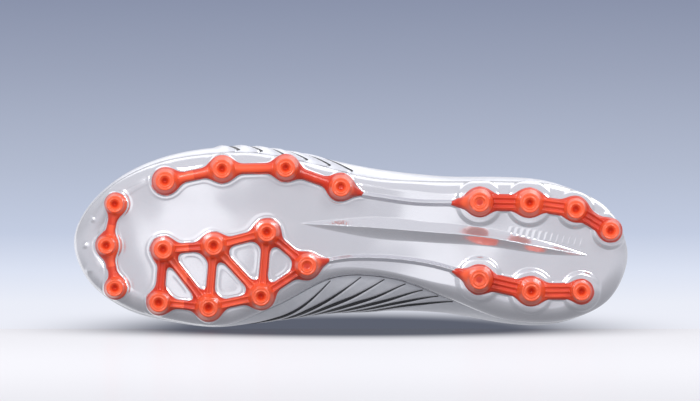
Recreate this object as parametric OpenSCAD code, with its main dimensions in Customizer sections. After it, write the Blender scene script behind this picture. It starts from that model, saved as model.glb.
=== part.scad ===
// Soccer cleat for artificial grass, left foot, standing on its studs.
// Millimetres. +X to the toe, +Y to the outer (lateral) side, +Z up, stud tips at z = 0.
// The upper is one smooth surface: u runs once around the boot from the toe by the lateral side,
// t runs from the plate's rim (0) up to the topline (1), and depth runs inwards from its outer face.

/* [Size] */
// Length from toe to heel; every guide point below follows it
boot_length = 288; // [240:4:312]

/* [Outsole] */
// Wall of the moulded plate
plate_wall = 2.2; // [1.6:0.2:3]
// Height of the spine ridge at its middle
spine_height = 3.6; // [2:0.2:4.5]
// How far a stud or bar is buried in the plate
embed = 0.6; // [0.3:0.1:1]
// How far a boss stands below the plate
boss_drop = 1.2; // [0.6:0.2:2]

/* [Studs] */
// Radius of a ground stud at its tip
stud_tip_r = 4.8; // [4:0.1:5.2]
// Radius of the dimple in a stud's tip
dimple_r = 2.2; // [1.5:0.1:3]
// Thickness of the bars below the plate
bar_thickness = 2.2; // [1.5:0.1:3]
// Blend radius where bars meet studs
web_blend = 2.5; // [1:0.5:4]

/* [Upper] */
// Thickness of the outer skin
skin = 1.2; // [0.8:0.1:1.6]
// Thickness of the lining
lining = 0.8; // [0.6:0.1:1.2]
// Padding added by the collar foam
collar_pad = 4.6; // [2:0.2:6]
// Extra thickness of the toe puff
puff_build = 0.6; // [0.3:0.1:1]
// Extra thickness of the heel counter
counter_build = 1.2; // [0.6:0.1:1.6]
// Width of a black stripe at its middle
stripe_width = 1.8; // [1.2:0.1:2.6]

/* [Lacing] */
// Eyelets on each side
eyelet_rows = 6; // [4:1:7]
// Bore radius of an eyelet
eyelet_r = 2.2; // [1.8:0.1:2.5]
// Width of the flat lace
lace_width = 6; // [4:0.5:7]
// Thickness of the flat lace
lace_thickness = 1.6; // [1:0.1:2]

/* [Tongue and footbed] */
// Thickness of the tongue's foam
tongue_foam_thickness = 3.2; // [2:0.2:4]
// Thickness of the insole board
board_thickness = 1.5; // [1:0.1:2]
// Thickness of the cushion insert between board and sockliner
cushion_thickness = 2.5; // [1.5:0.1:3]
// Thickness of the sockliner
sockliner_thickness = 3.4; // [2.5:0.1:4]

/* [Hidden] */

size = boot_length / 288;
gap = 0.05;
body_gap = 0.5;
silver = [0.78, 0.79, 0.81];
bright_silver = [0.86, 0.87, 0.89];
orange = [0.95, 0.29, 0.14];
black = [0.05, 0.05, 0.06];
charcoal = [0.16, 0.16, 0.18];

// Guide loops around the boot, toe first and then by the lateral side: rim, two pull points, topline.
rim = size * [
    [144.2, -4, 33], [138, 13.5, 31], [122, 28.5, 26], [101, 38.5, 22.5], [77, 43, 20.5],
    [50, 43.8, 20], [22, 38.6, 21.5], [-10, 31, 24], [-45, 29, 24.5], [-78, 29, 23],
    [-107, 27, 22], [-133, 15.5, 22], [-144.1, -8.5, 22.5], [-134.5, -32.5, 22], [-110, -43.8, 22],
    [-80, -43, 23], [-50, -32, 23], [-22, -21.8, 21], [8, -21, 19], [38, -35.5, 18.5],
    [66, -46, 19.5], [93, -43.5, 21.5], [117, -36.8, 25.5], [136, -23.5, 30.5]
];
low_pull = size * [
    [149, -4, 46], [127, 35, 42], [78, 55, 40], [22, 51.5, 42], [-46, 37, 44], [-110, 30, 40],
    [-146.5, -8.5, 41], [-113, -47, 40], [-50, -46, 38], [8, -54, 30], [66, -51, 40], [122, -42, 42]
];
high_pull = size * [
    [106, -4, 61], [93, 17, 62], [60, 28, 63], [14, 27, 68], [-40, 27.5, 75], [-93, 25, 57],
    [-130, -8, 66], [-93, -40, 58], [-42, -41, 74], [8, -38, 68], [56, -34, 64], [93, -23, 62]
];
topline = size * [
    [49, -3.5, 66.5], [48.6, -1, 66.6], [47, 2, 67.3], [43.5, 5, 69], [36, 7, 71.8], [24, 8, 76],
    [8, 8.5, 81], [-14, 9.5, 87], [-38, 12, 93], [-64, 20, 77.5], [-92, 23, 70.5], [-119, 14, 79],
    [-133, -8, 88], [-119, -29, 79.5], [-92, -37, 72.5], [-64, -31, 79], [-38, -20, 93.5],
    [-14, -17, 87.5], [8, -15.5, 81.5], [24, -15, 76.5], [36, -14, 72], [43.5, -12, 69],
    [47, -9, 67.3], [48.6, -6, 66.6]
];
// Edge of the plate's flat underside, seen from below.
floor_edge = size * [
    [132, -4], [113.5, 22], [75, 35], [20, 30], [-45, 21.5], [-103, 19],
    [-133, -8.5], [-106, -36], [-48, -24], [8, -15.5], [64, -37.5], [111, -28]
];
// Height of the plate's underside along the boot: [x, z].
sole_line = size * [
    [-150, 16], [-130, 11.5], [-100, 10], [-60, 11.5], [-25, 14.5], [5, 13.5], [40, 10],
    [70, 9.5], [95, 12], [115, 16.5], [132, 23.5], [150, 34]
];

// Studs: [x, y, base radius, tip radius, tip height].
toe_stud_places = [
    [122.3, 17, 5.8, 4.3, 9], [126.8, -4.5, 5.8, 4.3, 10.5], [122.3, -26.5, 5.8, 4.3, 9]
];
lateral_forefoot_places = [
    [96, 29, 7, stud_tip_r, 1.5], [66.5, 35.2, 7, stud_tip_r, 0],
    [33.5, 35.8, 7, stud_tip_r, 0], [5, 25.8, 7, stud_tip_r, 1.5]
];
medial_forefoot_places = [
    [97, -6.5, 6.7, stud_tip_r, 1.8], [70.8, -4.6, 7, stud_tip_r, 0], [43.3, 2.5, 7, stud_tip_r, 0],
    [22.5, -15, 7, stud_tip_r, 0.8], [99.3, -34, 6.5, stud_tip_r, 2], [73.5, -36.6, 7.2, stud_tip_r, 0],
    [46.3, -30.8, 7, stud_tip_r, 0]
];
lateral_heel_places = [
    [-66.8, 18, 7.6, 5, 0], [-92.7, 17.6, 7.6, 5, 0], [-116.5, 14.3, 6.3, 4.6, 0], [-134.5, 3.3, 6, 4.4, 0.6]
];
medial_heel_places = [[-66.6, -22, 7.7, 5, 0], [-93.5, -28.2, 7.7, 5, 0], [-119.5, -28.2, 6.2, 4.6, 0]];

// Seams of the upper, as places around the boot.
lateral_seam = 0.215;
medial_seam = 0.785;
lateral_heel_seam = 0.43;
medial_heel_seam = 0.57;
lateral_throat = 0.325;
medial_throat = 0.675;
eyelet_t = 0.92;
first_eyelet = 0.172;
last_eyelet = 0.318;

// ---- Curves and surfaces ----

function mix(a, b, f) = a + (b - a) * f;
function unit(v) = v / norm(v);
function ease(f) = let (c = max(0, min(1, f))) c * c * (3 - 2 * c);
function steps(from, to, count) = [for (i = [0:count]) mix(from, to, i / count)];

// Smooth closed curve through guide points, for u from 0 to 1.
function around(guide, u) =
    let (
        count = len(guide),
        place = (u - floor(u)) * count,
        i = floor(place),
        f = place - i,
        a = guide[(i + count - 1) % count],
        b = guide[i % count],
        c = guide[(i + 1) % count],
        d = guide[(i + 2) % count]
    )
    0.5 * (2 * b + (c - a) * f + (2 * a - 5 * b + 4 * c - d) * f * f + (3 * b - a - 3 * c + d) * f * f * f);

// Smooth open curve through guide points, for s from 0 to 1.
function along(guide, s) =
    let (
        last = len(guide) - 1,
        place = min(s, 0.9999) * last,
        i = floor(place),
        f = place - i,
        a = guide[max(i - 1, 0)],
        b = guide[i],
        c = guide[i + 1],
        d = guide[min(i + 2, last)]
    )
    0.5 * (2 * b + (c - a) * f + (2 * a - 5 * b + 4 * c - d) * f * f + (3 * b - a - 3 * c + d) * f * f * f);

// Height of the plate's underside at x, eased between the guide points.
function sole_slope(i) =
    let (a = sole_line[max(i - 1, 0)], b = sole_line[min(i + 1, len(sole_line) - 1)])
    (b[1] - a[1]) / (b[0] - a[0]);
function sole_z(x) =
    let (
        i = max([for (k = [0:len(sole_line) - 2]) sole_line[k][0] <= x ? k : 0]),
        a = sole_line[i],
        b = sole_line[i + 1],
        h = b[0] - a[0],
        f = (x - a[0]) / h
    )
    (2 * f * f * f - 3 * f * f + 1) * a[1] + (f * f * f - 2 * f * f + f) * h * sole_slope(i)
    + (3 * f * f - 2 * f * f * f) * b[1] + (f * f * f - f * f) * h * sole_slope(i + 1);

// Outer face of the upper.
function face(u, t) =
    pow(1 - t, 3) * around(rim, u) + 3 * pow(1 - t, 2) * t * around(low_pull, u)
    + 3 * (1 - t) * t * t * around(high_pull, u) + t * t * t * around(topline, u);
function face_normal(u, t) =
    let (step = 0.004, low_t = min(t, 1 - step))
    unit(cross(face(u + step, t) - face(u - step, t), face(u, low_t + step) - face(u, low_t)));
function at_depth(u, t, depth) = face(u, t) - depth * face_normal(u, t);

// Thickness of what lies between skin and lining.
function from_toe(u) = min(abs(u), abs(1 - u));
function puff_at(u, t) = puff_build * ease((0.15 - from_toe(u)) / 0.05) * ease((0.7 - t) / 0.2);
function counter_at(u, t) = counter_build * ease((0.14 - abs(u - 0.5)) / 0.05) * ease((0.6 - t) / 0.15);
function collar_at(u, t) =
    collar_pad * ease((0.178 - abs(u - 0.5)) / 0.05) * ease((t - 0.55) / 0.3)
    * (1 - 0.35 * ease((t - 0.85) / 0.15));
function lining_depth(u, t) = skin + 0.35 + puff_at(u, t) + counter_at(u, t) + collar_at(u, t);

// ---- Solids ----

// Solid through a row of rings that have the same even number of points each. A ring runs clockwise
// as seen from the next ring, and its two halves face each other. Their quads are split along matching
// diagonals, so nested layers stay parallel. closed joins the last ring to the first, and pinched needs
// no caps because each end ring has shrunk to a line.
module loft(rings, closed = false, pinched = false) {
    size_of_ring = len(rings[0]);
    half = size_of_ring / 2;
    last = len(rings) - 1;
    sides = [
        for (i = [0:closed ? last : last - 1], k = [0:size_of_ring - 1])
            let (
                a = i * size_of_ring + k,
                b = i * size_of_ring + (k + 1) % size_of_ring,
                c = ((i + 1) % (last + 1)) * size_of_ring + (k + 1) % size_of_ring,
                d = ((i + 1) % (last + 1)) * size_of_ring + k
            )
            each k < half ? [[a, b, c], [a, c, d]] : [[a, b, d], [b, c, d]]
    ];
    caps = [
        for (j = [0:half - 2])
            let (p = j, q = j + 1, r = size_of_ring - 2 - j, s = size_of_ring - 1 - j, e = last * size_of_ring)
            each [[r, q, p], [s, r, p], [e + p, e + q, e + r], [e + p, e + r, e + s]]
    ];
    polyhedron(
        points = [for (ring = rings) each ring],
        faces = closed || pinched ? sides : concat(sides, caps),
        convexity = 10
    );
}

// A moulded piece whose shapes run into each other: resize by nothing makes it one mesh.
module moulded() {
    resize([0, 0, 0]) children();
}

// Stations around the boot that all layers of the upper share, so that their facets stay parallel.
front_stations = steps(medial_seam - 1, lateral_seam, 24);
lateral_stations = steps(lateral_seam, lateral_heel_seam, 12);
heel_stations = steps(lateral_heel_seam, medial_heel_seam, 8);
medial_stations = steps(medial_heel_seam, medial_seam, 12);
rear_stations = concat(
    lateral_stations,
    [for (i = [1:7]) heel_stations[i]],
    medial_stations
);

throat_stations = concat(
    [for (u = medial_stations) u - 1],
    [for (i = [1:23]) front_stations[i]],
    lateral_stations
);

// Heights that those layers share, from the rim to the topline.
heights = [0.004, 0.15, 0.3, 0.45, 0.62, 0.74, 0.84, 0.92, 1];

// The same stations, with the end ones moved in by half a seam.
function seamed(stations) = [
    for (i = [0:len(stations) - 1])
        i == 0 ? stations[i] + 0.0003 : i == len(stations) - 1 ? stations[i] - 0.0003 : stations[i]
];

// One section of a layer of the upper, up its outside and down its inside.
function layer_ring(u, heights, depths_out, depths_in) =
    let (last = len(heights) - 1)
    concat(
        [for (j = [0:last]) at_depth(u, heights[j], depths_out[j])],
        [for (j = [last:-1:0]) at_depth(u, heights[j], depths_in[j])]
    );

module skin_panel(stations) {
    outer = [for (t = heights) 0];
    inner = [for (t = heights) skin];
    loft([for (u = seamed(stations)) layer_ring(u, heights, outer, inner)]);
}

module lining_panel(stations) {
    loft([
        for (u = seamed(stations))
            let (outer = [for (t = heights) lining_depth(u, t)])
            layer_ring(u, heights, outer, [for (d = outer) d + lining])
    ]);
}

// One section of a footbed layer between two loops, medial to lateral below and back above.
// low and high each give [loop, lift]: the loop's points and how far they are raised.
function chord(a, b, count) = [for (f = steps(0, 1, count)) mix(a, b, f)];

// Point on the curved wall between floor edge and rim: f = 0 at the floor and 1 at the rim.
function inward(guide, u, inset) =
    let (p = around(guide, u), d = around(guide, u + 0.003) - around(guide, u - 0.003), n = norm([d[0], d[1]]))
    [p[0] - inset * d[1] / n, p[1] + inset * d[0] / n, p[2]];
function bowl_wall(u, f, inset, lift) =
    let (
        foot = around(floor_edge, u),
        top = inward(rim, u, inset),
        side = sin(90 * f),
        rise = 1 - cos(90 * f),
        low = sole_z(foot[0]) + lift
    )
    [mix(foot[0], top[0], side), mix(foot[1], top[1], side), mix(low, top[2], rise)];

// Section of the bowl from the medial rim under the floor to the lateral rim. Its two sides are the
// same at toe and heel, where the section shrinks to a line.
function bowl_section(u, inset, lift) =
    let (
        medial_u = u == 0 || u == 0.5 ? u : 1 - u,
        wall_steps = 3,
        floor_steps = 4,
        medial = [for (f = steps(1, 0, wall_steps)) bowl_wall(medial_u, f, inset, lift)],
        lateral = [for (f = steps(0, 1, wall_steps)) bowl_wall(u, f, inset, lift)],
        across = [
            for (i = [1:floor_steps - 1])
                let (p = mix(medial[wall_steps], lateral[0], i / floor_steps)) [p[0], p[1], sole_z(p[0]) + lift]
        ]
    )
    concat(medial, across, lateral);
function turned(points) = [for (i = [len(points) - 1:-1:0]) points[i]];

bowl_rows = 26;

// Open shell of the plate.
module cup() {
    loft([
        for (u = steps(0, 0.5, bowl_rows))
            concat(bowl_section(u, 0, 0), turned(bowl_section(u, plate_wall, plate_wall)))
    ], pinched = true);
}

// Filled bowl that reaches half way into the cup's wall.
module half_wall_bowl() {
    loft([
        for (u = steps(0, 0.5, bowl_rows))
            let (below = bowl_section(u, plate_wall / 2, plate_wall / 2), last = len(below) - 1)
            concat(below, chord(below[last] + [0, 0, 12], below[0] + [0, 0, 12], last))
    ], pinched = true);
}

// Flat layer on the plate's floor. shrink is how far its edge stays inside the hollow's wall.
function floor_point(u, shrink, z_lift) =
    let (
        foot = around(floor_edge, u),
        d = around(floor_edge, u + 0.003) - around(floor_edge, u - 0.003),
        x = foot[0] - shrink * d[1] / norm(d),
        y = foot[1] + shrink * d[0] / norm(d)
    )
    [x, y, sole_z(x) + z_lift];
module floor_layer(low, thickness, shrink, edge_lift = 0) {
    count = 6;
    rows = 18;
    tip = 0.006;
    loft([
        for (u = steps(tip, 0.5 - tip, rows))
            let (
                a = floor_point(1 - u, shrink, low),
                b = floor_point(u, shrink, low),
                below = [
                    for (f = steps(0, 1, count))
                        let (p = mix(a, b, f), lip = edge_lift * pow(abs(2 * f - 1), 6))
                        [p[0], p[1], sole_z(p[0]) + low + lip]
                ],
                above = [for (i = [count:-1:0]) below[i] + [0, 0, thickness]]
            )
            concat(below, above)
    ]);
}

// ---- Outsole plate ----

// Sharp ridge hanging from the plate along a path of [x, y, width, height] that runs to the heel.
module ridge(path, pieces) {
    loft([
        for (s = steps(0, 1, pieces))
            let (p = along(path, s), x = size * p[0], y = size * p[1], z = sole_z(x), half = p[2] / 2)
            [[x, y - half, z + 0.8], [x, y, z - p[3]], [x, y + half, z + 0.8], [x, y, z + 1.6]]
    ]);
}

module boss(place, extra) {
    x = size * place[0];
    radius = place[2] + extra;
    translate([x, size * place[1], sole_z(x) - boss_drop])
        cylinder(h = 8, r1 = radius, r2 = radius + 1, $fn = 14);
}

module outsole_plate() {
    spine = [
        [26, 7, 0.6, 0.1], [-10, 5, 11, spine_height * 0.8], [-40, 2.7, 11, spine_height],
        [-70, 0, 9.5, spine_height], [-100, -5.5, 7, spine_height * 0.6], [-123.5, -9.7, 0.6, 0.1]
    ];
    lateral_rail = [[-1, 22.5, 1, 0.2], [-15, 20.6, 3.2, 2], [-35, 18, 3.2, 2.2], [-56, 17.6, 3.2, 1.6]];
    medial_rail = [
        [14, -13, 1, 0.2], [0, -10.9, 3.2, 2], [-20, -11.2, 3.2, 2.4],
        [-40, -13.7, 3.2, 2.2], [-56, -18, 3.2, 1.6]
    ];
    toe_nubs = [[134.5, 9], [138.3, -4.6], [136.5, -17.6]];
    color(silver)
        moulded()
        union() {
            cup();
            ridge(spine, 18);
            ridge(lateral_rail, 7);
            ridge(medial_rail, 8);
            for (nub = toe_nubs)
                translate([size * nub[0], size * nub[1], sole_z(size * nub[0]) - 0.4])
                    sphere(r = 2, $fn = 10);
            difference() {
                union() {
                    for (place = concat(toe_stud_places, lateral_forefoot_places, medial_forefoot_places))
                        boss(place, 0.9);
                    for (place = [lateral_heel_places[0], lateral_heel_places[1]]) boss(place, 3.6);
                    for (place = [lateral_heel_places[2], lateral_heel_places[3]]) boss(place, 2.4);
                    for (place = medial_heel_places) boss(place, 3.2);
                }
                half_wall_bowl();
            }
        }
}

// ---- Stud groups ----

module stud(place) {
    x = size * place[0];
    tip_z = place[4];
    top_z = sole_z(x) - boss_drop + embed;
    translate([x, size * place[1], tip_z])
        difference() {
            cylinder(h = top_z - tip_z, r1 = place[3], r2 = place[2], $fn = 20);
            translate([0, 0, -0.01])
                cylinder(h = 1.2, r1 = dimple_r, r2 = dimple_r * 0.5, $fn = 10);
        }
}

// Keeps a flat outline between two heights measured from the plate's underside.
module under_plate(from_z, to_z) {
    reach = size * 140;
    count = 20;
    stations = steps(-reach, reach, count);
    intersection() {
        linear_extrude(height = size * 60) children();
        rotate([90, 0, 0])
            translate([0, 0, -reach])
            linear_extrude(height = 2 * reach)
            polygon(concat(
                [for (x = stations) [x, sole_z(x) + from_z]],
                [for (i = [count:-1:0]) [stations[i], sole_z(stations[i]) + to_z]]
            ));
    }
}

// Flat outline of the bars: [stud, stud, width], joined to rings under the studs.
module web_outline(places, bars, nose) {
    offset(r = -web_blend, $fn = 12)
        offset(r = web_blend, $fn = 12)
        union() {
            for (place = places)
                translate(size * [place[0], place[1]])
                    circle(r = place[2] + 0.5, $fn = 16);
            for (bar = bars)
                hull()
                    for (end = [places[bar[0]], places[bar[1]]])
                        translate(size * [end[0], end[1]])
                            circle(r = bar[2] / 2, $fn = 8);
            for (tail = nose)
                hull() {
                    translate(size * [places[tail[0]][0], places[tail[0]][1]])
                        circle(r = places[tail[0]][2] * 0.8, $fn = 20);
                    translate(size * [tail[1], tail[2]])
                        circle(r = 1, $fn = 12);
                }
        }
}

module stud_group(places, bars, nose) {
    color(orange)
        moulded()
        union() {
            for (place = places) stud(place);
            under_plate(-boss_drop - bar_thickness + 0.8, embed)
                web_outline(places, bars, nose);
        }
}

module toe_studs() {
    stud_group(toe_stud_places, [[0, 1, 5.4], [1, 2, 5.4]], []);
}
module lateral_forefoot_studs() {
    stud_group(lateral_forefoot_places, [[0, 1, 5.6], [1, 2, 5.6], [2, 3, 5.6]], [[3, -5.5, 22.5]]);
}
module medial_forefoot_studs() {
    rows = [[0, 1, 5], [1, 2, 5], [2, 3, 5], [4, 5, 5], [5, 6, 5], [6, 3, 5]];
    struts = [[0, 4, 5], [1, 5, 4.6], [2, 6, 4.6], [0, 5, 4.6], [1, 6, 4.6]];
    stud_group(medial_forefoot_places, concat(rows, struts), [[3, 12, -12.3]]);
}
module lateral_heel_studs() {
    stud_group(lateral_heel_places, [[0, 1, 9], [1, 2, 8.6], [2, 3, 8]], [[0, -53, 17.5]]);
}
module medial_heel_studs() {
    stud_group(medial_heel_places, [[0, 1, 9.4], [1, 2, 8.8]], [[0, -53.5, -17.6]]);
}

// ---- Footbed ----

module insole_board() {
    color(charcoal) floor_layer(plate_wall + 4 * gap, board_thickness, 1.2);
}
module cushion_insert() {
    color(charcoal) floor_layer(plate_wall + board_thickness + 6 * gap, cushion_thickness, 1.5);
}
module sockliner() {
    base = plate_wall + board_thickness + cushion_thickness + 6 * gap + body_gap;
    color(orange) floor_layer(base, sockliner_thickness, 0.6, 2.5);
}

// ---- Upper ----

module vamp() {
    color(bright_silver)
        moulded()
        difference() {
            skin_panel(front_stations);
            eyelet_holes();
        }
}
module lateral_quarter() {
    color(bright_silver)
        moulded()
        difference() {
            skin_panel(lateral_stations);
            eyelet_holes();
        }
}
module medial_quarter() {
    color(bright_silver)
        moulded()
        difference() {
            skin_panel(medial_stations);
            eyelet_holes();
        }
}
module heel_panel() {
    color(bright_silver) skin_panel(heel_stations);
}

module toe_puff() {
    stations = [for (u = front_stations) if (abs(u) < 0.14) u];
    lower = [for (i = [0:4]) heights[i]];
    color(charcoal) loft([
        for (u = stations)
            layer_ring(
                u, lower, [for (t = lower) skin + 2 * gap],
                [for (t = lower) skin + 0.35 - 2 * gap + puff_at(u, t)]
            )
    ]);
}
module heel_counter() {
    stations = [for (u = rear_stations) if (abs(u - 0.5) < 0.13) u];
    lower = [for (i = [0:4]) heights[i]];
    color(charcoal) loft([
        for (u = stations)
            layer_ring(
                u, lower, [for (t = lower) skin + 2 * gap],
                [for (t = lower) skin + 0.35 - 2 * gap + counter_at(u, t)]
            )
    ]);
}
module collar_foam() {
    stations = [for (u = rear_stations) if (abs(u - 0.5) < 0.16) u];
    upper = [for (i = [4:8]) heights[i]];
    color(charcoal) loft([
        for (u = stations)
            layer_ring(
                u, upper, [for (t = upper) skin + 3 * gap],
                [for (t = upper) skin + 0.35 - 3 * gap + collar_at(u, t)]
            )
    ]);
}
module vamp_lining() {
    color(black)
        moulded()
        difference() {
            lining_panel(front_stations);
            eyelet_holes();
        }
}
module quarter_lining() {
    color(black)
        moulded()
        difference() {
            lining_panel(rear_stations);
            eyelet_holes();
        }
}

// Rounded tape over the collar's top edge.
module collar_binding() {
    color(black) loft([
        for (u = rear_stations)
            if (abs(u - 0.5) < 0.16)
            let (
                outer = at_depth(u, 1, -0.3),
                inner = at_depth(u, 1, lining_depth(u, 1) + lining + 0.2),
                up = unit(face(u, 1) - face(u, 0.97)),
                lift = min(2.2, norm(outer - inner) / 2),
                across = [for (f = steps(0, 1, 4)) mix(outer, inner, (1 - cos(180 * f)) / 2)]
            )
            concat(
                [for (i = [0:4]) across[i] + up * (0.3 + lift * sin(45 * i))],
                [for (i = [4:-1:0]) across[i] + up * 0.15]
            )
    ]);
}

// ---- Stripes ----

// Raised stripe through a route of places [u, t] on the upper, pointed at its start and slim at its end.
module stripe(route) {
    loft([
        for (s = steps(0, 1, 7))
            let (
                p = along(route, s),
                q = along(route, min(s + 0.02, 1)) - along(route, max(s - 0.02, 0)),
                here = face(p[0], p[1]),
                ahead = unit(face(p[0] + q[0] / 4, p[1] + q[1] / 4) - here),
                normal = face_normal(p[0], p[1]),
                half = cross(normal, ahead) * (0.25 + stripe_width / 2 * sin(180 * pow(s, 1.3)))
            )
            [
                here - half + normal * 0.3, here - half * 0.7 + normal * 0.7,
                here + half * 0.7 + normal * 0.7, here + half + normal * 0.3
            ]
    ]);
}

module lateral_stripes() {
    starts = [0.196, 0.214, 0.232, 0.249, 0.265, 0.28];
    color(black)
        for (i = [0:5])
            let (u = starts[i])
            stripe([[u, 0.03], [u - 0.022 - 0.003 * i, 0.27], [u - 0.062 - 0.006 * i, 0.6 + 0.012 * i]]);
}
module medial_stripes() {
    starts = [0.7535, 0.7315, 0.7145, 0.6985, 0.685, 0.673, 0.662];
    color(black)
        for (i = [0:6])
            let (u = starts[i])
            stripe([
                [u, 0.012], [u + 0.022, 0.13 + 0.006 * i], [u + 0.044, 0.21 + 0.01 * i],
                [u + 0.066, 0.28 + 0.016 * i], [u + 0.1, 0.36 + 0.03 * i]
            ]);
}

// ---- Eyestays and eyelets ----

// Places its children on the upper, their z axis along the surface's outward normal.
module on_upper(u, t) {
    normal = face_normal(u, t);
    side = unit(cross(face(u, min(1, t + 0.01)) - face(u, t - 0.01), normal));
    up = cross(normal, side);
    p = face(u, t);
    multmatrix([
        [side[0], up[0], normal[0], p[0]],
        [side[1], up[1], normal[1], p[1]],
        [side[2], up[2], normal[2], p[2]],
        [0, 0, 0, 1]
    ])
        children();
}

function eyelet_u(row) = mix(first_eyelet, last_eyelet, row / (eyelet_rows - 1));

module at_eyelets() {
    for (row = [0:eyelet_rows - 1], u = [eyelet_u(row), 1 - eyelet_u(row)])
        on_upper(u, eyelet_t) children();
}

module eyelet_holes() {
    at_eyelets() translate([0, 0, -6]) cylinder(h = 12, r = eyelet_r + 0.8, $fn = 12);
}

module eyestay(stations) {
    top = [heights[6], heights[7], heights[8]];
    color(silver)
        moulded()
        difference() {
            loft([
                for (u = seamed(stations))
                    layer_ring(u, top, [for (t = top) -1.1], [for (t = top) -2 * gap])
            ]);
            eyelet_holes();
        }
}
module lateral_eyestay() {
    eyestay([for (u = throat_stations) if (u > -0.001 && u < lateral_throat + 0.01) u]);
}
module medial_eyestay() {
    eyestay([for (u = throat_stations) if (u < 0.001 && u > -lateral_throat - 0.01) u]);
}

module eyelets() {
    color(silver)
        at_eyelets()
        difference() {
            union() {
                translate([0, 0, -2.5]) cylinder(h = 4.3, r = eyelet_r + 0.55, $fn = 10);
                translate([0, 0, 1.3]) cylinder(h = 0.7, r = eyelet_r + 1.6, $fn = 10);
            }
            translate([0, 0, -3]) cylinder(h = 6, r = eyelet_r, $fn = 10);
        }
}

// ---- Tongue ----

// Middle line of the tongue's upper face: [x, z, half width, drop at its edges].
tongue_line = [
    [56, 62, 13, 6], [40, 66.5, 15.5, 8.5], [20, 72.5, 17.5, 10.5], [2, 78, 18, 11],
    [-16, 84.5, 16, 9], [-30, 93.5, 12.5, 5], [-38, 101, 12.5, 5.5], [-44, 106.5, 13.5, 6]
];
tongue_y = size * -3.5;

module tongue_layer(from_depth, to_depth) {
    count = 6;
    color(black) loft([
        for (s = steps(0, 1, 13))
            let (
                p = along(tongue_line, s),
                above = [
                    for (f = steps(1, -1, count))
                        size * [p[0], p[2] * f, p[1] - p[3] * f * f] + [0, tongue_y, 0]
                ]
            )
            concat(
                [for (i = [count:-1:0]) above[i] - [0, 0, to_depth]],
                [for (q = above) q - [0, 0, from_depth]]
            )
    ]);
}

module tongue_face() {
    tongue_layer(0, 0.9);
}
module tongue_foam() {
    tongue_layer(1, 1 + tongue_foam_thickness);
}
module tongue_lining() {
    tongue_layer(1.1 + tongue_foam_thickness, 1.9 + tongue_foam_thickness);
}

module lace_keeper() {
    p = along(tongue_line, 0.8);
    d = along(tongue_line, 0.82) - along(tongue_line, 0.78);
    color(silver)
        translate(size * [p[0], -3.5, p[1]] + [0, 0, 0.6])
        rotate([0, atan2(d[1], -d[0]), 0])
        difference() {
            translate([-4, -8, -0.3]) cube([8, 16, 0.9]);
            translate([-5, -4.2, -1]) cube([3, 8.4, 3]);
        }
}

// ---- Lace ----

// One flat run of lace over the throat between facing eyelets.
module lace_row(u) {
    lateral = at_depth(u, eyelet_t, -1.5 - lace_thickness);
    lateral_edge = at_depth(u, 0.99, -1.5 - lace_thickness);
    medial = at_depth(1 - u, eyelet_t, -1.5 - lace_thickness);
    medial_edge = at_depth(1 - u, 0.99, -1.5 - lace_thickness);
    middle = (lateral_edge + medial_edge) / 2 + [0, 0, 1.2];
    route = [lateral, lateral_edge, middle, medial_edge, medial];
    forward = unit(face(u - 0.01, 1) - face(u + 0.01, 1));
    loft([
        for (s = steps(0, 1, 6))
            let (
                p = along(route, s),
                d = along(route, min(s + 0.02, 1)) - along(route, max(s - 0.02, 0)),
                up = unit(cross(d, forward)),
                half = forward * (lace_width / 2) * (0.55 + 0.45 * sin(180 * s)),
                thick = up * lace_thickness / 2
            )
            [
                p - half * 0.8 - thick, p - half, p - half * 0.8 + thick,
                p + half * 0.8 + thick, p + half, p + half * 0.8 - thick
            ]
    ]);
}

module lace_through(u) {
    on_upper(u, eyelet_t) translate([0, 0, -4]) cylinder(h = 7.2, r = eyelet_r - 0.3, $fn = 6);
}

module lace_under(u_from, t_from, u_to, t_to) {
    hull()
        for (place = [[u_from, t_from], [u_to, t_to]])
            translate(at_depth(place[0], place[1], 3.8))
                sphere(r = 1.2, $fn = 8);
}

module lace() {
    last_u = eyelet_u(eyelet_rows - 1);
    color(black)
        moulded()
        union() {
            for (row = [0:eyelet_rows - 1])
                let (u = eyelet_u(row)) {
                    lace_row(u);
                    lace_through(u);
                    lace_through(1 - u);
                }
            for (row = [0:eyelet_rows - 2])
                let (side = row % 2, u = eyelet_u(row), v = eyelet_u(row + 1))
                lace_under(side == 0 ? 1 - u : u, eyelet_t, side == 0 ? 1 - v : v, eyelet_t);
            lace_under(1 - last_u, eyelet_t, 1 - last_u + 0.02, 0.8);
            translate(at_depth(eyelet_u(0), eyelet_t, 4.4)) sphere(r = 2.4, $fn = 8);
        }
}

module aglet() {
    color(silver)
        hull()
        for (place = [[0.709, 0.765], [0.722, 0.695]])
            translate(at_depth(place[0], place[1], 3.8)) sphere(r = 1.1, $fn = 8);
}

outsole_plate();
toe_studs();
lateral_forefoot_studs();
medial_forefoot_studs();
lateral_heel_studs();
medial_heel_studs();
insole_board();
cushion_insert();
sockliner();
vamp();
lateral_quarter();
medial_quarter();
heel_panel();
toe_puff();
heel_counter();
vamp_lining();
quarter_lining();
collar_foam();
collar_binding();
lateral_stripes();
medial_stripes();
lateral_eyestay();
medial_eyestay();
eyelets();
tongue_face();
tongue_foam();
tongue_lining();
lace_keeper();
lace();
aglet();
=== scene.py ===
"""Soccer cleat: looks for the boot that part.scad builds, in the same frame, drawn in millimetres."""
import math

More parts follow.
